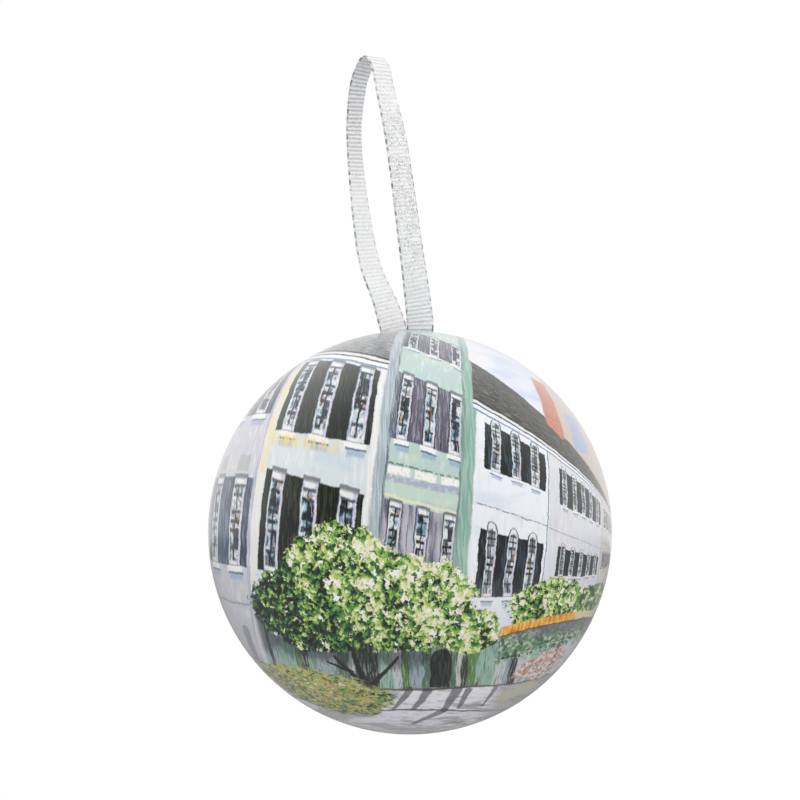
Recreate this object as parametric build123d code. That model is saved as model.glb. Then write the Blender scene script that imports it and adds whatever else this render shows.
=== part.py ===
from build123d import *

# Souvenir Christmas ornament: a hollow tinplate ball in two drawn halves, hung on a loop of flat ribbon.
#
# Frame: millimetres, +Z up, origin at the ball's lowest point. The front half, with the printed scene,
# faces -Y, and the two halves meet in the upright plane y = 0. The back half carries a stepped-in neck,
# and the front half slides over it. Both ends of the ribbon pass through a slot in the back half, just
# behind the seam, and are tied in one knot inside.

import os
from math import cos, radians, sin, sqrt

# Driving dimensions
BALL_DIAMETER = 70.0
SHEET = 0.25  # tinplate thickness
SEAM_GAP = 0.06  # between the two halves when closed
RIBBON_WIDTH = 5.0
RIBBON_THICKNESS = 0.3
LOOP_HEIGHT = 47.7  # crown of the loop above the mouth of the slot

# The ball
RADIUS = BALL_DIAMETER / 2
CENTRE = Vector(0, 0, RADIUS)
SHELL_AXIS = Axis(CENTRE, (0, 1, 0))
PROFILE_PLANE = Plane(origin=CENTRE, x_dir=(0, 1, 0), z_dir=(1, 0, 0))

# Seam: the front half's edge is hemmed, and the neck inside it has a rolled edge
HEM_LENGTH = 1.9
NECK_LENGTH = 4.2
NECK_CLEARANCE = 0.1
NECK_RADIUS = RADIUS - 2 * SHEET - NECK_CLEARANCE
NECK_CURL_RADIUS = 0.55
NECK_CURL_TURN = 250.0
SHARP_BEND = 0.1
SOFT_BEND = SHARP_BEND + SHEET

# Slot for the ribbon
SLOT_LENGTH = 11.0
SLOT_WIDTH = 1.7
SLOT_Y = 2.3  # behind the seam
SLOT_CUT_DEPTH = 4.0
SLOT_MOUTH_Z = RADIUS + sqrt(RADIUS**2 - SLOT_Y**2)

# Where the ribbon bends and twists, as heights above the mouth of the slot, with the gap that is left to
# either side of each, so that the pieces can turn
SWING_HEIGHT = 1.2
SWING_GAP = 0.55
TWIST_HEIGHT = 6.2
TWIST_GAP = 0.2

# The knot inside
KNOT_SIZE = Vector(8.4, 4.4, 5.2)
KNOT_EDGE_RADIUS = 2.1
KNOT_DROP = 1.3  # top of the knot below the mouth of the slot
KNOT_CENTRE = Vector(0, SLOT_Y, SLOT_MOUTH_Z - KNOT_DROP - KNOT_SIZE.Z / 2)
TAIL_LENGTH = 10.0
TAIL_SPREAD = 18.0  # degrees from upright

# Middle line of the ribbon from its rear end to its front end: x, y behind the slot's middle, height
# above the mouth of the slot, width as a share of RIBBON_WIDTH, and how far its width is turned from +X.
RIBBON_STATIONS = [
    (-2.30, 0.35, -3.0, 0.80, 0.0),
    (-2.75, 0.38, 0.0, 0.90, 3.0),
    (-4.30, 1.00, 5.0, 0.96, 28.0),
    (-7.50, 2.60, 14.0, 1.0, 46.0),
    (-9.70, 2.90, 32.0, 1.0, 60.0),
    (-9.15, 1.90, 42.5, 1.0, 57.0),
    (-7.00, 0.10, LOOP_HEIGHT, 1.0, 55.0),
    (-4.70, -1.50, 43.3, 1.0, 53.0),
    (-2.25, -2.60, 32.0, 1.0, 42.0),
    (0.20, -2.40, 14.0, 1.0, 35.0),
    (1.40, -1.00, 5.0, 0.96, 24.0),
    (1.75, -0.38, 0.0, 0.90, 3.0),
    (1.40, -0.35, -3.0, 0.80, 0.0),
]
STEPS_PER_STATION = 3
REAR_LEG_STATIONS = (0, 3)
LOOP_STATIONS = (2, 10)
FRONT_LEG_STATIONS = (9, 12)
RIBBON_FOOT = -2.8  # height at which the legs disappear in the knot


def on_sphere(radius, y):
    """The point of a profile circle of this radius at y, as (y, distance from the shell's axis)."""
    return (y, sqrt(radius**2 - y**2))


def polar(centre, radius, angle):
    """The point at an angle in degrees round a centre, in the profile plane."""
    return (centre[0] + radius * cos(radians(angle)), centre[1] + radius * sin(radians(angle)))


def dome_arc(radius, rim_point, pole_side):
    """The dome from its pole to a point near the rim. pole_side is +1 for the back and -1 for the front."""
    pole = (pole_side * radius, 0)
    middle = (pole_side * radius * cos(radians(45)), radius * sin(radians(45)))
    return ThreePointArc(pole, middle, rim_point)


def turned(face):
    """The shell that a profile makes when it is turned round the ball's fore-and-aft axis."""
    return revolve(PROFILE_PLANE * face, axis=SHELL_AXIS, revolution_arc=360)


def rounded_bends(face, bends):
    """The profile with a radius on each of the given corners."""
    for corner, radius in bends:
        face = fillet(face.vertices().sort_by_distance(Vector(*corner))[0], radius)
    return face


def front_shell():
    """The front half: a dome whose edge is folded flat inwards."""
    fold_y = -SEAM_GAP / 2 - SHEET
    outer_rim = on_sphere(RADIUS, fold_y)
    hem_top = (fold_y, outer_rim[1] - 2 * SHEET)
    hem_end = on_sphere(RADIUS - 2 * SHEET, -HEM_LENGTH)
    inner_rim = on_sphere(RADIUS - SHEET, -HEM_LENGTH)
    profile = make_face(
        [
            dome_arc(RADIUS, outer_rim, -1),
            ThreePointArc(outer_rim, (fold_y + SHEET, outer_rim[1] - SHEET), hem_top),
            Line(hem_top, hem_end),
            Line(hem_end, inner_rim),
            dome_arc(RADIUS - SHEET, inner_rim, -1),
            Line((-RADIUS + SHEET, 0), (-RADIUS, 0)),
        ]
    )
    return turned(rounded_bends(profile, [(hem_end, SHARP_BEND)]))


def back_shell():
    """The rear half: a dome with a shoulder, a neck that the front half slides over, and the ribbon slot."""
    shoulder_y = SEAM_GAP / 2
    curl_centre = (-NECK_LENGTH + NECK_CURL_RADIUS, NECK_RADIUS - NECK_CURL_RADIUS)
    curl_inside = NECK_CURL_RADIUS - SHEET
    curl_end = 90 + NECK_CURL_TURN
    outer_rim = on_sphere(RADIUS, shoulder_y)
    outer_root = (shoulder_y, NECK_RADIUS)
    inner_rim = on_sphere(RADIUS - SHEET, shoulder_y + SHEET)
    inner_root = (shoulder_y + SHEET, NECK_RADIUS - SHEET)
    profile = make_face(
        [
            dome_arc(RADIUS, outer_rim, 1),
            Line(outer_rim, outer_root),
            Line(outer_root, polar(curl_centre, NECK_CURL_RADIUS, 90)),
            CenterArc(curl_centre, NECK_CURL_RADIUS, 90, NECK_CURL_TURN),
            Line(polar(curl_centre, NECK_CURL_RADIUS, curl_end), polar(curl_centre, curl_inside, curl_end)),
            CenterArc(curl_centre, curl_inside, 90, NECK_CURL_TURN),
            Line(polar(curl_centre, curl_inside, 90), inner_root),
            Line(inner_root, inner_rim),
            dome_arc(RADIUS - SHEET, inner_rim, 1),
            Line((RADIUS - SHEET, 0), (RADIUS, 0)),
        ]
    )
    bends = [
        (outer_rim, SOFT_BEND),
        (outer_root, SHARP_BEND),
        (inner_rim, SHARP_BEND),
        (inner_root, SOFT_BEND),
    ]
    slot_outline = Pos(0, SLOT_Y, SLOT_MOUTH_Z) * SlotOverall(SLOT_LENGTH, SLOT_WIDTH)
    return turned(rounded_bends(profile, bends)) - extrude(slot_outline, SLOT_CUT_DEPTH / 2, both=True)


def between(before, start, end, after, share):
    """A smooth curve through start and end (Catmull-Rom), for one number of a station."""
    return 0.5 * (
        2 * start
        + (end - before) * share
        + (2 * before - 5 * start + 4 * end - after) * share**2
        + (3 * start - before - 3 * end + after) * share**3
    )


def ribbon_path():
    """The stations of the ribbon's middle line with steps between them."""
    ends = [RIBBON_STATIONS[0], *RIBBON_STATIONS, RIBBON_STATIONS[-1]]
    path = []
    for four in zip(ends, ends[1:], ends[2:], ends[3:]):
        for step in range(STEPS_PER_STATION):
            path.append([between(*numbers, step / STEPS_PER_STATION) for numbers in zip(*four)])
    path.append(list(RIBBON_STATIONS[-1]))
    return path


def ribbon_stretch(stations):
    """The flat band between two stations."""
    path = ribbon_path()
    middles = [Vector(x, SLOT_Y + y, SLOT_MOUTH_Z + height) for x, y, height, _, _ in path]
    sections = []
    for index in range(stations[0] * STEPS_PER_STATION, stations[1] * STEPS_PER_STATION + 1):
        width_share, turn = path[index][3:]
        behind = middles[max(index - 1, 0)]
        ahead = middles[min(index + 1, len(middles) - 1)]
        along = (ahead - behind).normalized()
        across = Vector(cos(radians(turn)), sin(radians(turn)), 0)
        across = (across - along * across.dot(along)).normalized()
        section_plane = Plane(origin=middles[index], x_dir=across, z_dir=along)
        sections.append(section_plane * Rectangle(RIBBON_WIDTH * width_share, RIBBON_THICKNESS))
    return loft(sections)


def slab(low, high):
    """A wide block between two heights above the mouth of the slot, used to take a stretch of the ribbon."""
    return Pos(0, 0, SLOT_MOUTH_Z + (low + high) / 2) * Box(BALL_DIAMETER, BALL_DIAMETER, high - low)


def ribbon_leg(stations):
    """The short stretch of one leg between the slot and the height where the loop twists."""
    return ribbon_stretch(stations) & slab(SWING_HEIGHT + SWING_GAP, TWIST_HEIGHT - TWIST_GAP)


def ribbon_loop():
    """The loop, from the height where it twists up to its crown and back."""
    return ribbon_stretch(LOOP_STATIONS) & slab(TWIST_HEIGHT + TWIST_GAP, LOOP_HEIGHT + RIBBON_WIDTH)


def ribbon_knot():
    """The knot inside the ball, with the two stretches in the slot above it and the two tails below it."""
    knot = Pos(KNOT_CENTRE) * fillet(Box(*KNOT_SIZE).edges(), KNOT_EDGE_RADIUS)
    for side, stations in ((-1, FRONT_LEG_STATIONS), (1, REAR_LEG_STATIONS)):
        tail = Box(RIBBON_WIDTH, RIBBON_THICKNESS, TAIL_LENGTH, align=(Align.CENTER, Align.CENTER, Align.MAX))
        tail = Pos(KNOT_CENTRE + Vector(-side, side * RIBBON_THICKNESS, 0)) * Rot(0, side * TAIL_SPREAD, 0) * tail
        knot += tail
        knot += ribbon_stretch(stations) & slab(RIBBON_FOOT, SWING_HEIGHT - SWING_GAP)
    return knot


pieces = {
    "front_shell": front_shell(),
    "back_shell": back_shell(),
    "ribbon_loop": ribbon_loop(),
    "ribbon_leg_front": ribbon_leg(FRONT_LEG_STATIONS),
    "ribbon_leg_rear": ribbon_leg(REAR_LEG_STATIONS),
    "ribbon_knot": ribbon_knot(),
}

os.makedirs("parts", exist_ok=True)
for name, piece in pieces.items():
    export_step(piece, f"parts/{name}.step")
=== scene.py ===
"""Looks of the souvenir Christmas ornament: a printed tinplate ball tin on a loop of silver ribbon."""

import math

import bpy
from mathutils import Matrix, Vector


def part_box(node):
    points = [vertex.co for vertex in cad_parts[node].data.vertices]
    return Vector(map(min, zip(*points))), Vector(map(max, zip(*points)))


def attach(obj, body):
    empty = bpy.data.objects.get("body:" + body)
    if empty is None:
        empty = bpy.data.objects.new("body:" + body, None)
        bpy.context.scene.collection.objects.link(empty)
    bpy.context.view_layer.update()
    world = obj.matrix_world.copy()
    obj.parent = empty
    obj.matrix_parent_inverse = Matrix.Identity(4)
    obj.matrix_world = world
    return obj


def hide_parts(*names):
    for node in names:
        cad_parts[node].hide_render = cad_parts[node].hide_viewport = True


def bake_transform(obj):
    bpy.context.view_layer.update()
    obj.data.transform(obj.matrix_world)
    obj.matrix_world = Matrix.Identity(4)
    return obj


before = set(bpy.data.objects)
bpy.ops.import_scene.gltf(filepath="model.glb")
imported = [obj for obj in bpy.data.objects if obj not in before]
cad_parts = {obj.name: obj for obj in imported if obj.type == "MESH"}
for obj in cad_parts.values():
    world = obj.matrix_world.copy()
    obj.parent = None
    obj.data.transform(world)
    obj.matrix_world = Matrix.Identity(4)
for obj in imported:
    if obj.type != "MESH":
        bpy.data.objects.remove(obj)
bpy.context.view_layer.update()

MM = 0.001
BALL_LOW, BALL_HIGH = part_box("front_shell")
RADIUS = (BALL_HIGH.x - BALL_LOW.x) / 2
CENTRE = Vector((0, 0, BALL_LOW.z + RADIUS))
SHEET = 0.25 * MM


def srgb(red, green, blue):
    """A colour given as 0 to 255 display values, in the linear values that nodes take."""

    def linear(value):
        value /= 255
        return value / 12.92 if value <= 0.04045 else ((value + 0.055) / 1.055) ** 2.4

    return (linear(red), linear(green), linear(blue), 1)


# --- node graphs written as arithmetic


def operator(operation, swapped=False):
    """An arithmetic operator that adds a math node."""

    def method(self, other):
        values = (other, self) if swapped else (self, other)
        return self.graph.math(operation, *values)

    return method


class Number:
    """A single value in a node graph, which ordinary arithmetic works on."""

    def __init__(self, graph, socket):
        self.graph = graph
        self.socket = socket

    __add__ = operator("ADD")
    __radd__ = operator("ADD", swapped=True)
    __sub__ = operator("SUBTRACT")
    __rsub__ = operator("SUBTRACT", swapped=True)
    __mul__ = operator("MULTIPLY")
    __rmul__ = operator("MULTIPLY", swapped=True)
    __truediv__ = operator("DIVIDE")
    __rtruediv__ = operator("DIVIDE", swapped=True)
    __gt__ = operator("GREATER_THAN")
    __lt__ = operator("LESS_THAN")


class Graph:
    """A node graph, written as arithmetic."""

    def __init__(self, tree):
        self.tree = tree

    def feed(self, socket, value):
        """Links a node's output, or sets a plain value."""
        if isinstance(value, Number):
            value = value.socket
        if isinstance(value, bpy.types.NodeSocket):
            self.tree.links.new(value, socket)
        else:
            socket.default_value = value

    def node(self, kind, inputs=None, **settings):
        node = self.tree.nodes.new("ShaderNode" + kind)
        for name, value in settings.items():
            setattr(node, name, value)
        for name, value in (inputs or {}).items():
            self.feed(node.inputs[name], value)
        return node

    def math(self, operation, *values, clamp=False):
        node = self.node("Math", operation=operation, use_clamp=clamp)
        for socket, value in zip(node.inputs, values):
            self.feed(socket, value)
        return Number(self, node.outputs[0])

    def vector_math(self, operation, inputs):
        return self.node("VectorMath", inputs, operation=operation).outputs[0]

    def vector(self, x, y, z=0.0):
        return self.node("CombineXYZ", {"X": x, "Y": y, "Z": z}).outputs[0]

    def split(self, vector):
        outputs = self.node("SeparateXYZ", {"Vector": vector}).outputs
        return [Number(self, output) for output in outputs]

    def noise(self, vector, scale=1.0, detail=2.0, roughness=0.5, colour=False):
        inputs = {"Vector": vector, "Scale": scale, "Detail": detail, "Roughness": roughness}
        node = self.node("TexNoise", inputs)
        return node.outputs["Color"] if colour else Number(self, node.outputs["Fac"])

    def cells(self, vector, scale=1.0):
        """Voronoi cells: the distance to the cell's point and a random colour for the cell."""
        node = self.node("TexVoronoi", {"Vector": vector, "Scale": scale})
        return Number(self, node.outputs["Distance"]), node.outputs["Color"]

    def dice(self, vector):
        """A random number for each vector."""
        return Number(self, self.node("TexWhiteNoise", {"Vector": vector}).outputs["Value"])

    def rise(self, value, low, high):
        """0 below low, 1 above high, and a straight slope between."""
        slope = 1 / (high - low)
        return self.math("MULTIPLY_ADD", value, slope, -low * slope, clamp=True)

    def band(self, value, low, high, soft):
        """1 between low and high with soft edges, and 0 outside."""
        distance = self.math("ABSOLUTE", value - (low + high) / 2)
        return self.math("MULTIPLY_ADD", distance, -1 / soft, (high - low) / 2 / soft + 0.5, clamp=True)

    def least(self, *values):
        result = values[0]
        for value in values[1:]:
            result = self.math("MINIMUM", result, value)
        return result

    def most(self, *values):
        result = values[0]
        for value in values[1:]:
            result = self.math("MAXIMUM", result, value)
        return result

    def box(self, x, x_low, x_high, y, y_low, y_high, soft):
        return self.least(self.band(x, x_low, x_high, soft), self.band(y, y_low, y_high, soft))

    def oval(self, x, y, centre, radii):
        """How far a point is from an oval's centre: 1 on its outline."""
        across = (x - centre[0]) / radii[0]
        up = (y - centre[1]) / radii[1]
        return self.math("SQRT", across * across + up * up)

    def doorway(self, x, y, middle, half_width, foot, spring):
        """A round-headed opening: its straight sides run from the foot to the spring of the arch."""
        head = self.oval(x, y, (middle, spring), (half_width, half_width))
        sides = self.box(x, middle - half_width, middle + half_width, y, foot, spring, 0.006)
        return self.most(self.rise(head, 1.06, 0.94), sides)

    def over(self, colour, mask, paint):
        """The colour with paint laid over it where the mask is 1."""
        node = self.node("Mix", data_type="RGBA")
        self.feed(node.inputs["Factor"], mask)
        self.feed(node.inputs["A"], colour)
        self.feed(node.inputs["B"], paint)
        return node.outputs["Result"]

    def palette(self, value, stops, smooth=False):
        """A colour for a value: stops are (value, red, green, blue)."""
        node = self.node("ValToRGB", {"Fac": value})
        ramp = node.color_ramp
        ramp.interpolation = "LINEAR" if smooth else "CONSTANT"
        while len(ramp.elements) < len(stops):
            ramp.elements.new(1.0)
        for element, (place, *colour) in zip(ramp.elements, stops):
            element.position = place
            element.color = srgb(*colour)
        return node.outputs["Color"]


def new_material(name):
    """A material, its graph and the inputs of its shader."""
    material = bpy.data.materials.new(name)
    material.use_nodes = True
    tree = material.node_tree
    return material, Graph(tree), tree.nodes["Principled BSDF"].inputs


# --- the printed street
#
# The print is drawn flat and stretched over the dome. Flat coordinates (u, v) run across and up the sheet,
# in ball radii, from the dome's middle. Uprights lean a little: along is u put upright again. The street
# recedes to the right: nearness grows and heights up the fronts shrink towards the vanishing point.

VANISHING_U = 2.1
VANISHING_V = -0.2
LEAN = 0.085
STOREY_LINES = (0.235, 0.53)  # heights that part the storeys
GREEN_HOUSE = (0.447, 0.531)  # the nearness of its two sides
BRUSH_WOBBLES = [(9, 1, 0.02), (60, 1, 0.009)]  # scale, detail and size of the unsteadiness of the lines

NIGHT_GREEN = srgb(22, 26, 22)
MOSS = srgb(66, 76, 48)
SLATE_BLUE = srgb(52, 72, 98)
PLUM_GREY = srgb(98, 94, 110)


class House:
    """One house of the row: its place, its windows and its colours.

    Windows are given by the middles of the first and the last one and their number; storeys by the height
    of the sills and the height of the windows. Lower windows drop towards the right, arches rise.
    """

    def __init__(self, start, middles, windows, storeys, colours, drop=0.0, arch=0.0, reach=(0.5, 0.5)):
        self.start = start
        pitch = (middles[1] - middles[0]) / (windows - 1)
        self.first = middles[0] - pitch / 2
        self.bays_per_radius = 1 / pitch
        self.left_end = 0.5 - reach[0]
        self.right_end = windows - 0.5 + reach[1]
        self.sills, self.window_heights = zip(*(*storeys, storeys[-1])[:3])
        self.tall = float(len(storeys) > 2)
        self.wall, self.shutter, self.shutter_light = colours
        self.drop = drop
        self.arch = arch


FRONT_HOUSES = [
    House(
        0.2, (-1.535, -1.015), 3, [(0.003, 0.165), (0.306, 0.18)],
        (srgb(206, 206, 214), SLATE_BLUE, srgb(128, 146, 162)),
        reach=(0.5, 0.46),
    ),
    House(
        0.334, (-0.724, -0.315), 3, [(0.002, 0.188), (0.27, 0.2)],
        (srgb(218, 228, 230), NIGHT_GREEN, MOSS),
        drop=0.045, reach=(0.43, 0.38),
    ),
    House(
        0.44, (-0.08, 0.185), 3, [(0.005, 0.158), (0.303, 0.185), (0.6, 0.12)],
        (srgb(190, 213, 206), PLUM_GREY, srgb(158, 162, 178)),
        drop=0.05, reach=(0.5, 0.58),
    ),
    House(
        0.545, (0.403, 0.63), 3, [(-0.066, 0.19), (0.298, 0.142)],
        (srgb(242, 246, 252), NIGHT_GREEN, srgb(60, 84, 98)),
        drop=0.065, arch=0.028, reach=(0.56, 0.6),
    ),
    House(
        0.727, (0.835, 1.15), 5, [(-0.025, 0.12), (0.271, 0.158)],
        (srgb(226, 226, 232), srgb(40, 40, 38), MOSS),
        drop=0.115, arch=0.02,
    ),
    House(
        1.13, (1.27, 1.7), 8, [(-0.04, 0.13), (0.27, 0.15)],
        (srgb(222, 216, 210), srgb(120, 114, 112), srgb(172, 164, 156)),
        drop=0.115,
    ),
]

BACK_HOUSES = [
    House(
        0.2, (-1.46, -1.0), 3, [(0.003, 0.165), (0.29, 0.18)],
        (srgb(232, 226, 204), srgb(74, 52, 44), srgb(132, 98, 78)),
        arch=0.026,
    ),
    House(
        0.334, (-0.77, -0.29), 4, [(0.002, 0.178), (0.27, 0.19)],
        (srgb(212, 222, 232), srgb(30, 44, 62), srgb(84, 108, 132)),
        drop=0.045,
    ),
    House(
        0.44, (-0.075, 0.18), 3, [(0.005, 0.158), (0.303, 0.185), (0.6, 0.12)],
        (srgb(236, 212, 196), srgb(58, 74, 62), srgb(116, 136, 112)),
        drop=0.05,
    ),
    House(
        0.545, (0.41, 0.61), 2, [(-0.06, 0.18), (0.298, 0.142)],
        (srgb(240, 238, 230), NIGHT_GREEN, srgb(60, 84, 98)),
        drop=0.065,
    ),
    House(
        0.727, (0.835, 1.15), 4, [(-0.025, 0.12), (0.271, 0.158)],
        (srgb(206, 220, 212), PLUM_GREY, srgb(158, 162, 178)),
        drop=0.115, arch=0.02,
    ),
    House(
        1.13, (1.27, 1.7), 8, [(-0.04, 0.13), (0.27, 0.15)],
        (srgb(230, 224, 208), srgb(96, 88, 82), srgb(158, 148, 136)),
        drop=0.115,
    ),
]

PRINTS = {
    "front_shell": {
        "facing": -1,
        "houses": FRONT_HOUSES,
        "big_bush": [
            ((-0.5, -0.4), (0.41, 0.24)),
            ((-0.34, -0.2), (0.31, 0.24)),
            ((-0.02, -0.36), (0.35, 0.25)),
            ((0.3, -0.5), (0.17, 0.13)),
        ],
        "small_bush": [((0.78, -0.4), (0.27, 0.15)), ((1.1, -0.42), (0.3, 0.1))],
        "stems": [  # from, to, half width
            ((-0.24, -0.845), (-0.4, -0.66), 0.018),
            ((-0.24, -0.845), (-0.3, -0.6), 0.022),
            ((-0.22, -0.845), (-0.06, -0.64), 0.015),
            ((-0.31, -0.75), (-0.45, -0.7), 0.011),
        ],
        "shift": 0.0,
        "awning": True,
    },
    "back_shell": {
        "facing": 1,
        "houses": BACK_HOUSES,
        "big_bush": [
            ((0.42, -0.42), (0.34, 0.2)),
            ((0.22, -0.52), (0.3, 0.13)),
            ((0.66, -0.38), (0.28, 0.17)),
            ((0.9, -0.5), (0.2, 0.13)),
        ],
        "small_bush": [((-0.86, -0.44), (0.3, 0.17)), ((-1.15, -0.4), (0.26, 0.13))],
        "stems": [((0.45, -0.86), (0.3, -0.64), 0.02), ((0.45, -0.86), (0.62, -0.66), 0.018)],
        "shift": -0.42,
        "awning": False,
    },
}


class Street:
    """Draws the row of houses and what stands in front of them."""

    def __init__(self, graph, houses, facing):
        self.graph = graph
        self.houses = houses
        self.flatten(facing)
        self.lay_out_houses()
        self.walls()

    def flatten(self, facing):
        """Unrolls the dome that looks towards facing (-1 is the front) into the flat sheet."""
        graph = self.graph
        x, y, z = graph.split(graph.node("TexCoord").outputs["Object"])
        across = x * (-facing / RADIUS)
        out = y * (facing / RADIUS)
        up = z * (1 / RADIUS) - CENTRE.z / RADIUS
        from_centre = graph.math("SQRT", across * across + up * up + out * out)
        self.bare = from_centre < 1 - SHEET / 2 / RADIUS
        reach = graph.math("SQRT", across * across + up * up + 1e-6)
        stretch = graph.math("ARCTAN2", reach, out) / reach
        sheet = graph.vector(across * stretch, up * stretch, 0.37 * facing)
        for scale, detail, size in BRUSH_WOBBLES:
            wobble = graph.noise(sheet, scale, detail=detail, colour=True)
            shift = graph.vector_math("SUBTRACT", {0: wobble, 1: (0.5, 0.5, 0.5)})
            shift = graph.vector_math("SCALE", {0: shift, "Scale": size})
            sheet = graph.vector_math("ADD", {0: sheet, 1: shift})
        self.u, self.v, _ = graph.split(sheet)
        self.along = self.u - self.v * LEAN
        self.nearness = 1 / (VANISHING_U - self.along)
        self.height = (self.v - VANISHING_V) * self.nearness

    def grain(self, across, up, seed, detail=2, roughness=0.5):
        """Noise with so many grains to a ball radius across and up the sheet."""
        place = self.graph.vector(self.u * across, self.v * up, seed)
        return self.graph.noise(place, 1, detail=detail, roughness=roughness)

    def paint(self, mask, colour):
        """Lays a colour over what is painted already."""
        self.colour = self.graph.over(self.colour, mask, colour)

    def by_house(self, name, storey=None):
        """A number of the houses, or of one of their storeys, stepping from house to house."""
        values = [getattr(house, name) for house in self.houses]
        if storey is not None:
            values = [value[storey] for value in values]
        result = values[0]
        for passed, before, value in zip(self.passed, values, values[1:]):
            result = self.graph.math("MULTIPLY_ADD", passed, value - before, result)
        return result

    def by_storey(self, name):
        """A number of the storeys, stepping from storey to storey and from house to house."""
        graph = self.graph
        low, high, top = [self.by_house(name, storey) for storey in range(3)]
        result = graph.math("MULTIPLY_ADD", self.upper, high - low, low)
        return graph.math("MULTIPLY_ADD", self.top, top - high, result)

    def colour_by_house(self, name):
        colours = [getattr(house, name) for house in self.houses]
        result = colours[0]
        for passed, colour in zip(self.passed, colours[1:]):
            result = self.graph.over(result, passed, colour)
        return result

    def lay_out_houses(self):
        """Works out the bay, the storey and the place within them for every point of the sheet."""
        graph = self.graph
        self.passed = [self.nearness > house.start for house in self.houses[1:]]
        from_start = self.along - self.by_house("first")
        drop = from_start * self.by_house("drop")
        self.low_height = self.height + drop
        bays = from_start * self.by_house("bays_per_radius")
        left_end, right_end = self.by_house("left_end"), self.by_house("right_end")
        self.bay = graph.math("FLOOR", graph.most(graph.least(bays, right_end - 0.5), 0.0))
        self.from_middle = bays - self.bay - 0.5
        self.aside = graph.math("ABSOLUTE", self.from_middle)
        self.upper = self.low_height > STOREY_LINES[0]
        self.top = self.height > STOREY_LINES[1]
        self.tallness = self.by_storey("window_heights")
        self.rise = (self.height + drop * (1 - self.upper) - self.by_storey("sills")) / self.tallness
        tall_house = self.by_house("tall")
        within = graph.least(bays > left_end, bays < right_end)
        self.windowed = graph.least(1 - self.top * (1 - tall_house), self.height < 0.75, within)
        self.streaks = self.grain(150, 9, 9.0, detail=2)

    def walls(self):
        """House fronts: base colours with loose upright brush strokes."""
        graph = self.graph
        self.colour = self.colour_by_house("wall")
        strokes = self.grain(42, 9, 4.0, detail=3)
        self.paint(graph.rise(strokes, 0.55, 0.8) * 0.5, srgb(196, 198, 216))
        self.paint(graph.rise(strokes, 0.46, 0.3) * 0.7, srgb(243, 243, 243))
        patches = self.grain(5, 9, 1.7, detail=2)
        self.paint(graph.rise(patches, 0.6, 0.72) * 0.35, srgb(236, 232, 200))
        self.paint(graph.rise(patches, 0.42, 0.3) * 0.35, srgb(190, 208, 230))

    def opening(self, half_width, low, high, soft, arched=True):
        """A window opening between two heights, with an arched head on the houses that have one."""
        graph = self.graph
        head = high
        if arched:
            share = self.aside * (1 / half_width)
            bulge = graph.math("SQRT", graph.most(1 - share * share, 0.0))
            head = bulge * self.arch_rise + high
        below = graph.math("MULTIPLY_ADD", head - self.rise, 1 / soft, 0.5, clamp=True)
        above = graph.rise(self.rise, low - soft / 2, low + soft / 2)
        beside = graph.rise(self.aside, half_width + 0.015, half_width - 0.015)
        return graph.least(below, above, beside) * self.windowed

    def windows(self):
        """Shutters, frames, panes, glazing bars and sills, in every bay and storey."""
        graph, streaks = self.graph, self.streaks
        self.arch_rise = self.by_house("arch") / self.tallness
        self.arched = self.arch_rise > 0.01

        shutter = self.colour_by_house("shutter")
        shutter_light = self.colour_by_house("shutter_light")
        leaf = self.grain(26, 4, 2.2, detail=1)
        glow = graph.rise(streaks + leaf * 0.5, 0.76, 0.86)
        shutter = graph.over(shutter, glow * 0.8, shutter_light)
        faded = graph.band(self.nearness, *GREEN_HOUSE, 0.01) * (1 - self.upper)
        shutter = graph.over(shutter, faded * graph.rise(leaf, 0.3, 0.55) * 0.85, srgb(200, 198, 210))
        beside = graph.band(self.aside, 0.23, 0.6, 0.02)
        upright = graph.band(self.rise, -0.01, 1.0, 0.02)
        leaves = graph.least(beside, upright) * self.windowed
        self.paint(leaves, shutter)
        seam = graph.band(self.aside, 0.485, 0.52, 0.02) * leaves
        self.paint(seam * graph.rise(streaks, 0.4, 0.5) * 0.8, srgb(14, 16, 16))

        lintel = graph.box(self.aside, -1, 0.25, self.rise, 1.0, 1.045, 0.02) * (1 - self.arched)
        self.paint(lintel * self.windowed * 0.8, srgb(88, 92, 96))
        block = graph.box(self.aside, -1, 0.22, self.rise, 1.07, 1.27, 0.03) * (self.nearness < 0.33)
        self.paint(block * self.windowed * 0.6, srgb(160, 172, 168))
        outline = self.opening(0.268, -0.02, 1.0, 0.03)
        self.paint(outline * graph.rise(streaks, 0.33, 0.43) * 0.9, srgb(38, 40, 44))
        frame_colour = graph.palette(self.from_middle + (streaks - 0.5) * 0.3 + 0.5, FRAME_COLOURS)
        self.paint(self.opening(0.218, 0.0, 0.985, 0.03), frame_colour)

        rows = self.rise * 5
        blots = self.grain(30, 17, self.bay * 1.7, detail=1.5)
        right_half = self.from_middle > -0.012
        row = graph.math("FLOOR", rows + (blots - 0.5) * 0.7)
        storey = self.upper + graph.math("ROUND", self.nearness * 40)
        cast = graph.dice(graph.vector(self.bay + right_half * 0.4, row, storey))
        pane = graph.palette((blots - 0.5) * 0.9 + cast * 0.42 + 0.29, PANE_COLOURS)
        pane = graph.over(pane, graph.rise(streaks, 0.58, 0.66) * 0.5, srgb(240, 242, 244))
        pane = graph.over(pane, graph.rise(streaks, 0.4, 0.34) * 0.6, srgb(40, 46, 52))
        pane = graph.over(pane, self.arched * 0.15, srgb(236, 236, 226))
        within_frame = graph.band(self.from_middle, -0.17, 0.15, 0.03)
        glass = graph.least(self.opening(0.3, 0.05, 0.9, 0.03), within_frame)
        self.paint(glass, pane)

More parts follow.
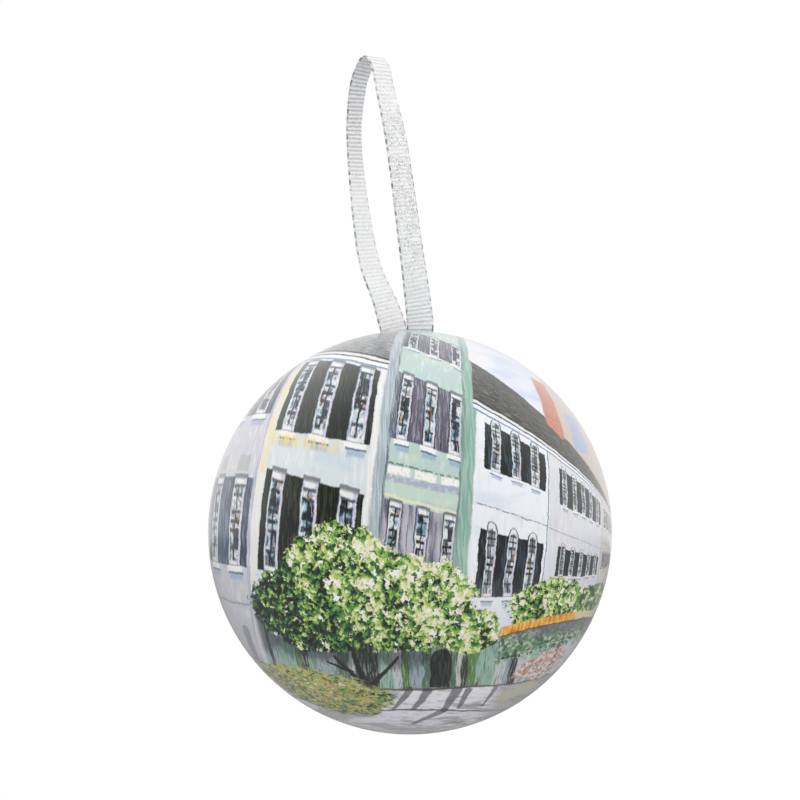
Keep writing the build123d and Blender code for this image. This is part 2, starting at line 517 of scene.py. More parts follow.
        row_line = graph.band(rows - graph.math("ROUND", rows), -0.1, 0.1, 0.08)
        middle_rail = graph.band(self.rise, 0.475, 0.52, 0.02)
        column_line = graph.band(self.from_middle, -0.035, 0.012, 0.02)
        bars = graph.most(row_line * 0.85, column_line, middle_rail) * glass
        self.paint(bars * graph.rise(streaks, 0.3, 0.42), srgb(26, 32, 40))
        shade = graph.band(self.rise, 0.885, 0.92, 0.02) * self.opening(0.2, 0.0, 1.0, 0.03, arched=False)
        self.paint(shade * 0.85, srgb(34, 38, 52))

        sill = graph.box(self.aside, -1, 0.29, self.rise, -0.075, -0.01, 0.02) * self.windowed
        self.paint(sill, srgb(246, 246, 244))
        under = graph.box(self.from_middle, -0.24, 0.33, self.rise, -0.1, -0.075, 0.015) * self.windowed
        self.paint(under * 0.85, srgb(70, 84, 118))
        shade = graph.box(self.from_middle, -0.18, 0.3, self.rise, -0.16, -0.1, 0.04) * self.windowed
        self.paint(shade * 0.6, srgb(130, 166, 206))

    def trims(self):
        """Quoins, drainpipes and pilasters between the houses, and the string courses."""
        graph = self.graph
        uprights = self.grain(110, 5, 2.0, detail=1)
        for low, high, base, light in TRIMS:
            mask = graph.band(self.nearness, low, high, (high - low) * 0.25)
            paint = graph.over(base, graph.rise(uprights, 0.45, 0.6), light)
            self.paint(mask, paint)
        yellow = graph.most(
            graph.box(self.nearness, 0.337, 0.3425, self.height, 0.18, 0.6, 0.002),
            graph.box(self.nearness, 0.337, 0.402, self.height, 0.238, 0.262, 0.01),
        )
        self.paint(yellow * graph.rise(uprights, 0.38, 0.6) * 0.85, srgb(242, 216, 132))
        for low, high, level, paint in STRING_COURSES:
            ledge = graph.box(self.nearness, low, high, self.low_height, level, level + 0.004, 0.003)
            self.paint(ledge * graph.rise(uprights, 0.3, 0.45) * 0.85, paint)

    def balcony(self):
        """The panelled band between the storeys of the green house."""
        graph = self.graph
        here = graph.band(self.nearness, *GREEN_HOUSE, 0.002)
        dashes = self.grain(60, 50, 6.0, detail=1)
        pale = graph.band(self.height, 0.17, 0.202, 0.008) * here
        self.paint(pale * 0.6, srgb(206, 224, 204))
        shade = graph.band(self.height, 0.2, 0.218, 0.006) * here * graph.rise(dashes, 0.3, 0.5)
        self.paint(shade * 0.85, srgb(172, 172, 200))
        panel = graph.box(self.aside, -1, 0.41, self.height, 0.219, 0.239, 0.004) * here
        self.paint(panel, srgb(248, 246, 240))
        self.paint(panel * graph.rise(dashes, 0.6, 0.68) * 0.5, srgb(178, 182, 206))
        edge = graph.band(self.height, 0.241, 0.246, 0.003) * here
        self.paint(edge * graph.rise(dashes, 0.4, 0.5) * 0.9, srgb(92, 126, 100))
        head = graph.band(self.low_height, 0.168, 0.175, 0.003) * here
        self.paint(head * 0.8, srgb(240, 234, 204))

    def roofs(self):
        """Cornices, slate roofs, the chimney and the sky above the lower houses."""
        graph = self.graph
        low_house = 1 - graph.band(self.nearness, 0.4345, 0.548, 0.002)
        courses = graph.vector(self.along * 16, self.height * 300, 3.0)
        slates = graph.noise(courses, 1, detail=3, roughness=0.7)
        right = self.nearness > 0.545
        eaves = self.height + right * 0.014
        for low, high, paint in CORNICE:
            self.paint(graph.band(eaves, low, high, 0.003) * low_house, paint)
        left_roof = graph.palette(slates, LEFT_ROOF_COLOURS)
        roof = graph.over(left_roof, right, graph.palette(slates, ROOF_COLOURS))
        self.paint((eaves > 0.522) * low_house, roof)
        ridge = self.height - (self.nearness * -0.15 + 0.745)
        clouds = self.grain(3, 6, 5.5, detail=3)
        sky = graph.palette(clouds, SKY_COLOURS, smooth=True)
        self.paint((ridge > 0.0) * right, sky)
        self.paint(graph.band(ridge, -0.006, 0.004, 0.004) * right * 0.7, srgb(60, 54, 50))
        gable = graph.least(ridge > 0.0, self.u > 0.9)
        plaster = graph.over(srgb(216, 200, 186), slates > 0.5, srgb(202, 184, 174))
        self.paint(gable, plaster)
        pane = graph.box(self.u, 1.0, 1.16, self.v, 0.5, 0.78, 0.02) * gable
        self.paint(pane * graph.rise(slates, 0.3, 0.5), srgb(156, 178, 216))
        chimney = graph.box(self.u, 0.79, 0.92, self.v, 0.55, 1.02, 0.015) * (ridge > -0.03)
        brick = graph.over(srgb(190, 106, 84), slates > 0.5, srgb(210, 144, 118))
        self.paint(chimney, brick)

    def stroke(self, start, end, half_width):
        """A tapering brush stroke between two places on the sheet."""
        graph = self.graph
        run_u, run_v = end[0] - start[0], end[1] - start[1]
        square = run_u**2 + run_v**2
        from_u, from_v = self.u - start[0], self.v - start[1]
        share = graph.math("ADD", from_u * (run_u / square), from_v * (run_v / square), clamp=True)
        off_u, off_v = from_u - share * run_u, from_v - share * run_v
        off = graph.math("SQRT", off_u * off_u + off_v * off_v)
        return graph.rise(off + share * (half_width * 0.5), half_width * 1.15, half_width * 0.85)

    def ground_floor(self, stems, shift):
        """Shaded walls, palings and posts behind the planting, and the stems of the big bush."""
        graph = self.graph
        shade = graph.rise(self.v, -0.2, -0.8) * 0.4
        self.paint(shade, srgb(176, 178, 194))
        sway = self.grain(22, 5, 8.0, detail=2)
        uneven = graph.noise(graph.vector(self.u * 5, 0.0, shift), 1, detail=1)
        pale = (self.u + (sway - 0.5) * 0.05) * PALINGS_PER_RADIUS + (uneven - 0.5) * 6
        number = graph.math("FLOOR", pale)
        palings = graph.palette(graph.dice(graph.vector(number, shift, 2.0)), PALING_COLOURS)
        palings = graph.over(palings, graph.rise(self.streaks, 0.54, 0.62) * 0.5, srgb(184, 204, 184))
        palings = graph.over(palings, graph.rise(self.streaks, 0.46, 0.38) * 0.55, srgb(46, 62, 50))
        fence = graph.box(self.u, PALINGS_FROM, PALINGS_TO, self.v, -1.0, -0.5, 0.03)
        self.paint(fence, palings)
        gloom = graph.box(self.u, PALINGS_FROM, 0.12, self.v + (sway - 0.5) * 0.2, -0.69, -0.4, 0.06)
        self.paint(gloom * 0.7, srgb(38, 50, 54))
        arch = graph.doorway(self.u, self.v, -1.03, 0.038, -0.86, -0.615)
        self.paint(arch * 0.8, srgb(140, 138, 152))
        for start, end, half_width in stems:
            self.paint(self.stroke(start, end, half_width), srgb(44, 40, 38))

    def foliage(self, ovals, seed, sun):
        """A flowering bush: leaf dabs, deep shadow between them, and pale blossoms in clusters."""
        graph = self.graph
        here = graph.vector(self.u, self.v, seed)
        ragged = graph.noise(here, 10, detail=6, roughness=0.8)
        nearest = graph.least(*[graph.oval(self.u, self.v, centre, radii) for centre, radii in ovals])
        mask = graph.rise(nearest + (ragged - 0.5), 1.02, 0.98)
        clumps = graph.noise(here, 8, detail=2, roughness=0.6)
        tufts = graph.noise(here, 34, detail=2, roughness=0.7)
        jitter = (tufts - 0.5) * 0.05
        swept = graph.vector(self.u + self.v * 0.3 + jitter, self.v * 0.85 + jitter, seed)
        _, dab = graph.cells(swept, 66)
        leaf, fleck, petal = graph.split(dab)
        light = (self.u + 0.3) * sun[0] + (self.v + 0.3) * sun[1] + sun[2]
        light = light + (clumps - 0.5) * 1.2 + (tufts - 0.5) * 1.1
        tone = light + (leaf - 0.5) * 0.7
        self.paint(mask, graph.palette(tone, LEAF_COLOURS))
        reach, blossom = graph.cells(swept, 29)
        open_flower, flower_tone, _ = graph.split(blossom)
        flowering = graph.least(open_flower * 0.8 + light > 1.0, reach + (petal - 0.5) * 0.5 < 0.47)
        petals = graph.palette(flower_tone * 0.35 + petal * 0.65, PETAL_COLOURS)
        self.paint(mask * flowering, petals)
        gaps = graph.least(mask, fleck * 0.6 + light < 0.47)
        self.paint(gaps * 0.85, graph.palette(leaf, GAP_COLOURS))

    def awning(self):
        """The yellow awning on the right, with the shade and the flower border under it."""
        graph = self.graph
        droop = self.v - (self.u * 0.4846 - self.u * self.u * 0.3105 - 0.677)
        rightward = graph.rise(self.u, 0.45, 0.48)
        here = graph.vector(self.u, self.v, 3.3)
        blur = graph.noise(here, 12, detail=4, roughness=0.75)
        _, dab = graph.cells(here, 58)
        tone, _, _ = graph.split(dab)
        hedge = graph.least(rightward, graph.rise(droop + (blur - 0.5) * 0.24, -0.21, -0.19), droop < 0.0)
        self.paint(hedge, graph.palette(tone * 0.5 + blur * 0.6, HEDGE_COLOURS))
        shade = graph.least(graph.rise(self.u, 0.5, 0.75), graph.band(droop, -0.1, -0.02, 0.03))
        self.paint(shade * 0.8, srgb(112, 114, 124))
        flowers = graph.oval(self.u, self.v, (0.82, -0.82), (0.22, 0.12)) + (blur - 0.5) * 1.1
        flowers = graph.least(graph.rise(flowers, 1.0, 0.9), self.v > -0.95)
        self.paint(flowers * 0.85, graph.palette(tone, BORDER_COLOURS))
        folds = self.grain(60, 14, 1.0, detail=1)
        cloth = graph.palette(folds, AWNING_COLOURS)
        cloth = graph.over(cloth, graph.rise(self.u, 0.98, 1.02), srgb(222, 214, 170))
        sheet = graph.least(rightward, graph.band(droop, -0.025, 0.024, 0.006))
        self.paint(sheet, cloth)
        hem = graph.least(rightward, graph.band(droop + (folds - 0.5) * 0.02, -0.034, -0.024, 0.005))
        self.paint(hem * 0.85, srgb(128, 78, 40))

    def street_floor(self):
        """Kerb, pale paving with wet patches and tree shadows, and the grass verge on the left."""
        graph = self.graph
        arc = self.v + self.u * self.u * 0.45
        drift = graph.noise(graph.vector(self.u * 5, arc * 22, 5.0), 1, detail=4, roughness=0.65)
        paving = graph.palette(drift, PAVING_COLOURS, smooth=True)
        slope = graph.most(self.u - 0.35, 0.0)
        kerb = self.v + slope * 0.17 + 0.858
        ground = graph.rise(kerb, 0.0, -0.008)
        self.paint(ground, paving)
        self.paint(graph.band(kerb, -0.01, 0.006, 0.006) * 0.85, srgb(88, 82, 72))
        wet = graph.rise(graph.noise(graph.vector(self.u * 3.3, arc * 8, 1.2), 1, detail=3), 0.5, 0.56)
        damp = graph.over(srgb(120, 122, 124), drift > 0.5, srgb(160, 162, 164))
        self.paint(ground * wet * 0.65, damp)
        for start, end, half_width in SHADOWS:
            self.paint(self.stroke(start, end, half_width) * 0.75, srgb(70, 68, 76))
        gutter = graph.band(arc + drift * 0.03 + 1.02, -0.008, 0.008, 0.006)
        gutter = gutter * graph.rise(self.u, -0.3, -0.2)
        self.paint(gutter * 0.85, srgb(74, 74, 92))
        dusk = graph.least(ground, graph.rise(self.u + drift * 0.2, 0.56, 0.66))
        self.paint(dusk * 0.7, srgb(164, 162, 160))
        puddle = graph.oval(self.u, self.v + self.u * -0.12, (0.69, -1.095), (0.15, 0.05))
        self.paint(graph.band(puddle, 0.0, 1.0, 0.1), srgb(196, 196, 180))
        self.paint(graph.band(puddle, 0.8, 1.02, 0.1) * 0.9, srgb(208, 200, 116))
        here = graph.vector(self.u * 0.7, self.v, 7.0)
        ragged = graph.noise(here, 16, detail=5, roughness=0.75)
        verge = graph.oval(self.u, self.v, (-0.56, -0.96), (0.46, 0.19)) + (ragged - 0.5) * 0.9
        _, dab = graph.cells(here, 62)
        blade, _, _ = graph.split(dab)
        warmth = graph.oval(self.u, self.v, (-0.54, -0.88), (0.3, 0.14))
        tone = blade * 0.5 + ragged * 0.9 - warmth * 0.12 - 0.12
        self.paint(graph.rise(verge, 1.06, 0.94), graph.palette(tone, GRASS_COLOURS))
        rim = graph.rise(arc + drift * 0.1, -1.1, -1.4)
        self.paint(rim * 0.6, srgb(206, 206, 210))

    def front_door(self, shift):
        """The round-headed door beside the bush."""
        graph = self.graph
        door = graph.doorway(self.u, self.v, 0.158 + shift, 0.052, -0.845, -0.648)
        wood = graph.over(srgb(30, 32, 32), self.streaks > 0.52, srgb(62, 66, 62))
        self.paint(door, wood)


PALING_COLOURS = [  # a share of the pales, and their colour
    (0.0, 56, 54, 60), (0.2, 156, 190, 176), (0.36, 98, 138, 84), (0.5, 66, 66, 62),
    (0.62, 206, 208, 212), (0.75, 88, 122, 104), (0.87, 160, 176, 190),
]
PALINGS_FROM, PALINGS_TO = -0.89, 0.92
PALINGS_PER_RADIUS = 23
SHADOWS = [
    ((0.0, -0.86), (-0.1, -1.03), 0.02),
    ((0.1, -0.87), (0.02, -1.03), 0.026),
    ((0.26, -0.88), (0.2, -1.06), 0.034),
    ((0.33, -0.89), (0.29, -1.04), 0.022),
    ((0.2, -1.05), (0.02, -1.2), 0.026),
    ((0.5, -0.9), (0.44, -1.06), 0.016),
]
TRIMS = [  # from, to, base colour, light strokes
    (0.3335, 0.3365, srgb(176, 178, 196), srgb(212, 212, 226)),
    (0.3365, 0.3425, srgb(232, 232, 230), srgb(242, 238, 222)),
    (0.429, 0.4345, srgb(236, 234, 234), srgb(248, 244, 240)),
    (0.4345, 0.4445, srgb(164, 178, 188), srgb(196, 206, 212)),
    (0.4445, 0.447, srgb(104, 122, 130), srgb(160, 176, 176)),
    (0.5305, 0.5345, srgb(112, 138, 132), srgb(150, 180, 168)),
    (0.5345, 0.5535, srgb(138, 176, 162), srgb(166, 200, 186)),
    (0.5535, 0.5575, srgb(234, 238, 240), srgb(246, 246, 244)),
    (0.7215, 0.7245, srgb(96, 104, 128), srgb(130, 138, 160)),
    (1.12, 1.135, srgb(190, 184, 190), srgb(214, 206, 206)),
]
STRING_COURSES = [  # nearness from, to, height, colour
    (0.1, 0.334, -0.075, srgb(124, 128, 156)),
    (0.5575, 0.722, 0.19, srgb(92, 106, 136)),
    (0.727, 2.5, 0.155, srgb(150, 158, 184)),
]
CORNICE = [
    (0.478, 0.485, srgb(130, 152, 192)),
    (0.485, 0.498, srgb(242, 244, 246)),
    (0.498, 0.504, srgb(48, 54, 72)),
    (0.504, 0.514, srgb(232, 232, 232)),
    (0.514, 0.524, srgb(48, 44, 44)),
]
ROOF_COLOURS = [
    (0.0, 24, 24, 28), (0.43, 50, 50, 52), (0.48, 98, 96, 92), (0.53, 62, 60, 60), (0.6, 144, 142, 136),
]
LEFT_ROOF_COLOURS = [
    (0.0, 80, 82, 84), (0.42, 112, 114, 116), (0.5, 140, 142, 144), (0.58, 170, 172, 174),
]
SKY_COLOURS = [(0.35, 206, 218, 238), (0.55, 232, 236, 244), (0.7, 240, 234, 236)]
LEAF_COLOURS = [
    (0.0, 24, 34, 34), (0.13, 38, 66, 50), (0.24, 52, 104, 54), (0.35, 88, 146, 62),
    (0.47, 134, 180, 78), (0.59, 176, 204, 104), (0.7, 208, 218, 144), (0.81, 232, 232, 192),
    (0.93, 242, 240, 228),
]
PETAL_COLOURS = [
    (0.0, 246, 246, 240), (0.3, 240, 236, 206), (0.52, 236, 222, 208), (0.66, 228, 222, 110),
    (0.8, 196, 212, 150), (0.9, 212, 206, 220),
]
GAP_COLOURS = [(0.0, 20, 26, 30), (0.5, 34, 52, 42), (0.75, 38, 46, 64)]
HEDGE_COLOURS = [
    (0.0, 52, 70, 62), (0.34, 72, 106, 88), (0.46, 100, 146, 96), (0.58, 146, 160, 158),
    (0.7, 186, 204, 170),
]
BORDER_COLOURS = [
    (0.0, 196, 112, 98), (0.2, 222, 218, 216), (0.4, 222, 164, 150), (0.6, 150, 172, 148),
    (0.8, 236, 226, 224),
]
AWNING_COLOURS = [(0.0, 214, 136, 36), (0.42, 238, 174, 60), (0.58, 244, 204, 112)]
PAVING_COLOURS = [
    (0.34, 176, 174, 184), (0.42, 226, 222, 236), (0.52, 248, 247, 252), (0.6, 238, 233, 242),
    (0.68, 190, 184, 192),
]
GRASS_COLOURS = [
    (0.0, 58, 70, 56), (0.2, 96, 120, 72), (0.34, 136, 160, 92), (0.46, 180, 190, 110),
    (0.56, 220, 188, 104), (0.64, 164, 144, 120), (0.72, 216, 220, 184),
]
FRAME_COLOURS = [
    (0.0, 150, 176, 208), (0.3, 236, 238, 240), (0.62, 206, 204, 230), (0.7, 240, 238, 236),
]
PANE_COLOURS = [
    (0.0, 32, 40, 46), (0.33, 60, 80, 94), (0.42, 122, 158, 176), (0.49, 188, 206, 212),
    (0.57, 228, 232, 230), (0.64, 150, 156, 190), (0.7, 198, 160, 78), (0.74, 60, 66, 68),
]


def printed_tinplate(name, facing, houses, big_bush, small_bush, stems, shift, awning):
    """Litho print under gloss varnish outside, bare lacquered tinplate inside and on the neck."""
    material, graph, shader = new_material(name)
    street = Street(graph, houses, facing)
    street.windows()
    street.trims()
    street.balcony()
    street.roofs()
    street.ground_floor(stems, shift)
    street.street_floor()
    street.foliage(small_bush, 1.9 * facing, (0.0, 0.5, 0.5))
    if awning:
        street.awning()
    street.foliage(big_bush, -0.4 * facing, (0.3, 0.3, 0.43))
    street.front_door(shift)

    rolling = graph.noise(graph.vector(street.u * 2, street.v * 70, facing), 1, detail=3)
    tin = graph.palette(rolling, TIN_COLOURS, smooth=True)
    graph.feed(shader["Base Color"], graph.over(street.colour, street.bare, tin))
    graph.feed(shader["Metallic"], street.bare * 0.65)
    graph.feed(shader["Roughness"], 0.3 - street.bare * (0.14 - rolling * 0.1))
    shader["Coat Weight"].default_value = 1.0
    shader["Coat Roughness"].default_value = 0.12
    return material


TIN_COLOURS = [(0.35, 204, 203, 198), (0.5, 240, 239, 235), (0.65, 214, 211, 203)]


# --- ribbon
#
# One flat woven ribbon goes up from the slot, round the loop and back. It is swept once and divided where
# it twists and where it bends, so that the weave runs on across the divisions.

SLOT_Y = 2.3 * MM  # behind the seam
SLOT_MOUTH = Vector((0, SLOT_Y, CENTRE.z + math.sqrt(RADIUS**2 - SLOT_Y**2)))
RIBBON_WIDTH = 5.0
RIBBON_THICKNESS = 0.26
TWIST_HEIGHT = 6.2
LOOP_TOP = (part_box("ribbon_loop")[1].z - SLOT_MOUTH.z) / MM
RIB_PITCH = 0.7
RIB_RISE = 0.035
RING_STEP = 0.1
COLUMNS = 22

# Middle line from the rear foot to the front foot, in mm from the middle of the slot's mouth: x, y,
# height, width as a share, and how far the width is turned from +X in degrees.
RIBBON_STATIONS = [
    (-1.90, 0.35, -4.0, 0.80, 0.0),
    (-2.75, 0.38, 0.0, 0.90, 3.0),
    (-4.30, 1.00, 5.0, 0.97, 28.0),
    (-7.50, 2.60, 14.0, 1.0, 46.0),
    (-9.70, 2.90, 32.0, 1.0, 60.0),
    (-9.20, 1.90, 42.0, 1.0, 57.0),
    (-7.70, 1.00, LOOP_TOP - 1.3, 1.0, 55.0),
    (-6.30, -0.20, LOOP_TOP - 0.15, 1.0, 52.0),
    (-5.10, -1.30, LOOP_TOP - 2.0, 1.0, 50.0),
    (-4.30, -1.80, 41.8, 1.0, 50.0),
    (-2.25, -2.60, 32.0, 1.0, 42.0),
    (0.20, -2.40, 14.0, 1.0, 35.0),
    (1.40, -1.00, 5.0, 0.97, 24.0),
    (1.75, -0.38, 0.0, 0.90, 3.0),
    (1.00, -0.35, -4.0, 0.80, 0.0),
]


def between(before, start, end, after, share):
    """A smooth curve through start and end (Catmull-Rom)."""
    return 0.5 * (
        2 * start
        + (end - before) * share
        + (2 * before - 5 * start + 4 * end - after) * share**2
        + (3 * start - before - 3 * end + after) * share**3
    )


def evenly_spaced(stations, step):
    """Stations at equal steps of length along the smooth curve through the given ones."""
    ends = [stations[0], *stations, stations[-1]]
    fine = []
    for four in zip(ends, ends[1:], ends[2:], ends[3:]):
        for part in range(60):
            fine.append([between(*numbers, part / 60) for numbers in zip(*four)])
    fine.append(list(stations[-1]))
    even = [fine[0]]
    travelled = 0.0
    for start, end in zip(fine, fine[1:]):
        length = (Vector(end[:3]) - Vector(start[:3])).length
        while travelled + length >= step:
            share = (step - travelled) / length
            start = [a + (b - a) * share for a, b in zip(start, end)]
            even.append(start)
            length = (Vector(end[:3]) - Vector(start[:3])).length
            travelled = 0.0
        travelled += length
    return even


def frames_along(stations):
    """Place, width direction and outward direction of the ribbon at each station."""
    places = [Vector(station[:3]) for station in stations]
    frames = []
    for index, station in enumerate(stations):
        behind = places[max(index - 1, 0)]
        ahead = places[min(index + 1, len(places) - 1)]
        along = (ahead - behind).normalized()
        turn = math.radians(station[4])
        across = Vector((math.cos(turn), math.sin(turn), 0))
        across = (across - along * across.dot(along)).normalized()
        frames.append((places[index], across, across.cross(along), station[3]))
    return frames


def ribbon_mesh(name, frames, first_ring, origin, cup=0.0, cut=0.0):
    """A woven band: two faces with weft ribs, corded selvedges and closed ends. Frames are in mm from
    origin.

    Cup bends the band across its width, and cut slants its last end.
    """
    ring_size = 2 * COLUMNS
    vertices, faces, weave = [], [], []
    for ring, (place, across, out, width_share) in enumerate(frames):
        along = (ring + first_ring) * RING_STEP
        forward = out.cross(across) * (cut * max(0.0, 1 - (len(frames) - 1 - ring) / 25) ** 2)
        half = RIBBON_WIDTH * width_share / 2
        for side in (1, -1):
            for column in range(COLUMNS):
                share = column / (COLUMNS - 1) * 2 - 1
                share *= side
                edge = max(0.0, (abs(share) - 0.9) / 0.1)
                scallop = 0.07 * math.sin(2 * math.pi * along / RIB_PITCH) * edge
                rib = RIB_RISE * math.sin(2 * math.pi * along / RIB_PITCH + 1.1 * side)
                rib += 0.015 * math.sin(share * 31 + along * 5.1) * math.sin(along * 12.7 + share * 9)
                cord = (1 + 0.45 * math.sin(math.pi * edge)) * (1 - edge**6 * 0.75)
                height = side * (RIBBON_THICKNESS / 2 * cord + rib * (1 - edge))
                bow = cup * (share**2 - 0.3) * half
                sideways = share * half + math.copysign(scallop, share)
                point = place + across * sideways + out * (height + bow)
                point = point + forward * share * half
                vertices.append(origin + point * MM)
                weave.append((share * RIBBON_WIDTH / 2, along))
    for ring in range(len(frames) - 1):
        for index in range(ring_size):
            after = (index + 1) % ring_size
            low, high = ring * ring_size, (ring + 1) * ring_size
            faces.append((low + index, high + index, high + after, low + after))
    last = (len(frames) - 1) * ring_size
    faces.append(tuple(range(ring_size)))
    faces.append(tuple(last + index for index in reversed(range(ring_size))))
    mesh = bpy.data.meshes.new(name)
    mesh.from_pydata(vertices, [], faces)
    layer = mesh.uv_layers.new(name="weave")
    for loop in mesh.loops:
        layer.data[loop.index].uv = weave[loop.vertex_index]
    for polygon in mesh.polygons:
        polygon.use_smooth = True
    mesh.validate()
    mesh.update()
    piece = bpy.data.objects.new(name, mesh)
    bpy.context.scene.collection.objects.link(piece)
    return piece


def silver_ribbon():
    """Woven silver-white lurex: weft ribs, glints and a dotted selvedge, with painted light: shade in the
    rib grooves and over two stretches of the ribbon, and grey marks in drifts as painted dark glints.
    """
    material, graph, shader = new_material("silver_ribbon")
    across, along, _ = graph.split(graph.node("UVMap", uv_map="weave").outputs["UV"])
    phase = along * (2 * math.pi / RIB_PITCH)
    weave = graph.vector(across, along)
    ragged = graph.noise(weave, 1.6, detail=2)
    rib = graph.math("SINE", phase + (ragged - 0.5) * 5)
    # painted shade: the base colour darkens in the grooves between the weft ribs
    groove_shade = graph.rise(rib, 0.1, -0.8)
    _, thread = graph.cells(graph.vector(across * 3.2, along * 4.5), 1)
    glint, fleck, tone = graph.split(thread)
    patches = graph.noise(weave, 0.42, detail=1)
    colour = graph.palette(tone, THREAD_COLOURS)
    # painted shade: the upper rear leg and, fainter, the front leg near its foot are greyed, standing in
    # for the light falling off there
    shaded_stretch = graph.most(graph.band(along, 34, 56, 10), graph.band(along, 98, 112, 4) * 0.4)
    squiggles = graph.noise(graph.vector(across * 2.6, along * 2.2), 1, detail=2)
    # painted dark glints of the metal threads: strong along the front leg, faint elsewhere
    dark_glint_strength = graph.band(along, 62, 92, 12) + 0.12
    # painted shade: grey over those stretches, and darker rib grooves, strongest there
    colour = graph.over(colour, shaded_stretch * 0.3, srgb(232, 233, 236))
    colour = graph.over(colour, groove_shade * (shaded_stretch * 0.55 + 0.05), srgb(168, 169, 174))
    # painted dark glints: grey marks laid over the colour in drifts
    dark_glints = graph.band(squiggles + (fleck - 0.5) * 0.12, 0.52, 0.56, 0.02)
    colour = graph.over(colour, dark_glints * dark_glint_strength * graph.rise(patches, 0.3, 0.5), srgb(128, 129, 134))
    edge = graph.math("ABSOLUTE", across)
    dot = graph.rise(graph.math("SINE", phase * 0.45 + (ragged - 0.5) * 7), -0.2, 0.3)
    selvedge = graph.rise(edge, RIBBON_WIDTH * 0.44, RIBBON_WIDTH * 0.46)
    colour = graph.over(colour, selvedge * dot * graph.rise(patches, 0.25, 0.6), srgb(132, 133, 138))
    graph.feed(shader["Base Color"], colour)
    graph.feed(shader["Metallic"], graph.math("MULTIPLY", glint > 0.75, 0.25))
    graph.feed(shader["Roughness"], graph.math("MULTIPLY_ADD", glint, 0.3, 0.3))
    shader["Sheen Weight"].default_value = 0.2
    bump = graph.node("Bump", {"Height": rib * 0.4 + glint * 0.4, "Strength": 0.4, "Distance": 0.00005})
    graph.feed(shader["Normal"], bump.outputs["Normal"])
    return material


THREAD_COLOURS = [
    (0.0, 252, 252, 253), (0.35, 255, 255, 255), (0.75, 248, 249, 250), (0.92, 238, 239, 242),
]


def wrapped_frames(stations):
    """Frames of a ribbon that lies wrapped round the middle of the knot."""
    places = [Vector(station[:3]) for station in stations]
    frames = []
    across = None
    for index, place in enumerate(places):
        along = (places[min(index + 1, len(places) - 1)] - places[max(index - 1, 0)]).normalized()
        outward = (place - along * place.dot(along)).normalized()
        wanted = along.cross(outward)
        across = wanted if across is None else across.lerp(wanted, 0.08)
        across = (across - along * across.dot(along)).normalized()
        frames.append((place, across, across.cross(along), stations[index][3]))
    return frames


def ribbon_knot(material):
    """An overhand knot with two tails that spread below it, all of the same ribbon."""
    low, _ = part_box("ribbon_knot")
    centre = Vector((0, SLOT_MOUTH.y, SLOT_MOUTH.z)) + KNOT_MIDDLE * MM
    turns = wrapped_frames(evenly_spaced(KNOT_STATIONS, RING_STEP))
    pieces = [ribbon_mesh("ribbon_knot_tied", turns, 40, centre, cup=0.35)]
    for side in (-1, 1):
        tail = [(side * x, side * y, z, width, side * turn) for x, y, z, width, turn in TAIL_STATIONS]
        tail[-1] = (*tail[-1][:2], (low.z - centre.z) / MM + 0.6, *tail[-1][3:])
        frames = frames_along(evenly_spaced(tail, RING_STEP))
        pieces.append(ribbon_mesh("ribbon_tail", frames, 300, centre, cup=0.1, cut=side * 0.5))
    with bpy.context.temp_override(active_object=pieces[0], selected_editable_objects=pieces):
        bpy.ops.object.join()
    knot = pieces[0]
    knot.data.materials.append(material)
    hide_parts("ribbon_knot")
    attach(knot, "back_half")


KNOT_MIDDLE = Vector((0, 0, -3.9))  # from the middle of the slot's mouth, in mm
KNOT_STATIONS = [  # x, y and height from the knot's middle, width as a share
    (-1.2, 0.3, 2.9, 0.7),
    (-2.2, -0.8, 1.6, 0.66),
    (-3.1, -1.0, -0.2, 0.62),
    (-2.6, 0.6, -1.5, 0.6),
    (-0.6, 1.5, -0.9, 0.6),
    (1.8, 1.2, 0.5, 0.62),
    (3.1, 0.0, 1.0, 0.62),
    (2.4, -1.3, 0.7, 0.62),
    (0.2, -1.7, -0.1, 0.62),
    (-1.6, -1.2, -1.2, 0.6),
    (-1.4, 0.4, -1.9, 0.6),
    (0.8, 1.3, -1.6, 0.62),
    (2.2, 0.4, -0.9, 0.64),
    (1.9, -0.6, 1.2, 0.68),
    (1.2, -0.2, 2.9, 0.7),
]
TAIL_STATIONS = [
    (0.5, 0.15, -0.6, 0.62, 0.0),
    (1.1, 0.3, -3.0, 0.85, 8.0),
    (2.0, 0.45, -6.0, 1.0, 14.0),
    (3.1, 0.3, -9.5, 1.0, 4.0),
]


def ribbon(material):
    """The loop and the two legs, cut from one swept ribbon where the legs twist."""
    frames = frames_along(evenly_spaced(RIBBON_STATIONS, RING_STEP))
    heights = [place.z for place, _, _, _ in frames]
    top = heights.index(max(heights))
    rear = next(i for i in range(top) if heights[i] > TWIST_HEIGHT)
    front = next(i for i in reversed(range(len(frames))) if heights[i] > TWIST_HEIGHT)
    loop = ribbon_mesh("ribbon_loop_woven", frames[rear : front + 1], rear, SLOT_MOUTH)
    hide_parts("ribbon_loop")
    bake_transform(loop)

    for side, first, last in (("rear", 0, rear), ("front", front, len(frames) - 1)):
        leg = ribbon_mesh(f"ribbon_leg_{side}_woven", frames[first : last + 1], first, SLOT_MOUTH)
        leg.data.materials.append(material)
        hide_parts(f"ribbon_leg_{side}")
        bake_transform(leg)
    loop.data.materials.append(material)


# --- stage

FLOOR_SEEN = (0.9, 0.9, 0.9, 1)
FLOOR_LIT = (0.6, 0.6, 0.6, 1)  # as it throws light back on the ball
FLOOR_MIRRORED = (0.25, 0.25, 0.25, 1)  # as the varnish mirrors it
CAMERA_DISTANCE = 0.8
BALL_IN_PICTURE = 0.2525  # the ball's radius as a share of the picture's width
PICTURE_SHIFT = (-0.0125, 0.1656)  # moves the ball below and beside the picture's middle


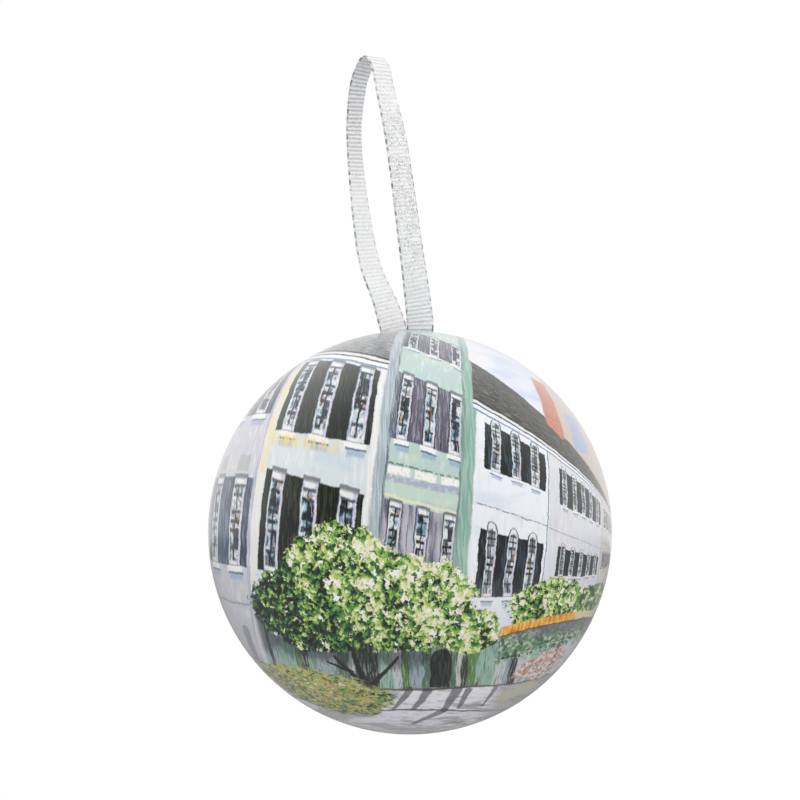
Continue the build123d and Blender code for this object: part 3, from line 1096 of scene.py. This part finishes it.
def light_tent(world):
    """A white tent: even light on the object, while its varnish mirrors bright sides and a dim front."""
    graph = Graph(world.node_tree)
    background = world.node_tree.nodes["Background"].inputs
    path = graph.node("LightPath").outputs
    _, front, up = graph.split(graph.node("TexCoord").outputs["Generated"])
    mirrored = graph.rise(front, -0.65, 0.35) * 0.87 + 0.1
    mirrored = mirrored * graph.math("MULTIPLY_ADD", up, 0.3, 0.8)
    even = graph.math("MULTIPLY_ADD", up, -0.25, 1.3)
    glossy = Number(graph, path["Is Glossy Ray"])
    camera = Number(graph, path["Is Camera Ray"])
    strength = even + glossy * (mirrored - even)
    strength = strength + camera * (1.0 - strength)
    graph.feed(background["Strength"], strength)
    background["Color"].default_value = (1, 1, 1, 1)


def studio():
    """A plain pale floor under a soft white sky, and the camera level with the ball."""
    scene = bpy.context.scene
    world = bpy.data.worlds.new("studio")
    scene.world = world
    world.use_nodes = True
    light_tent(world)
    scene.view_settings.view_transform = "Standard"

    bpy.ops.mesh.primitive_plane_add(size=8, location=(0, 0, -0.05))
    floor = bpy.context.object
    floor.name = "studio_floor"
    material, graph, shader = new_material("studio_floor")
    path = graph.node("LightPath").outputs
    grey = graph.over(FLOOR_LIT, path["Is Glossy Ray"], FLOOR_MIRRORED)
    graph.feed(shader["Base Color"], graph.over(grey, path["Is Camera Ray"], FLOOR_SEEN))
    shader["Roughness"].default_value = 0.9
    floor.data.materials.append(material)

    silhouette = RADIUS / math.sqrt(CAMERA_DISTANCE**2 - RADIUS**2)
    camera_data = bpy.data.cameras.new("camera")
    camera_data.sensor_width = 36
    camera_data.lens = BALL_IN_PICTURE * camera_data.sensor_width / silhouette
    camera_data.shift_x, camera_data.shift_y = PICTURE_SHIFT
    camera = bpy.data.objects.new("camera", camera_data)
    scene.collection.objects.link(camera)
    camera.location = (0, -CAMERA_DISTANCE, CENTRE.z)
    camera.rotation_euler = (math.radians(90), 0, 0)
    scene.camera = camera


for name, print_parts in PRINTS.items():
    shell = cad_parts[name].data
    shell.materials.clear()
    shell.materials.append(printed_tinplate(f"printed_tinplate_{name}", **print_parts))
    even_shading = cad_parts[name].modifiers.new("even_shading", "WEIGHTED_NORMAL")
    even_shading.keep_sharp = True
silver = silver_ribbon()
ribbon(silver)
ribbon_knot(silver)
studio()
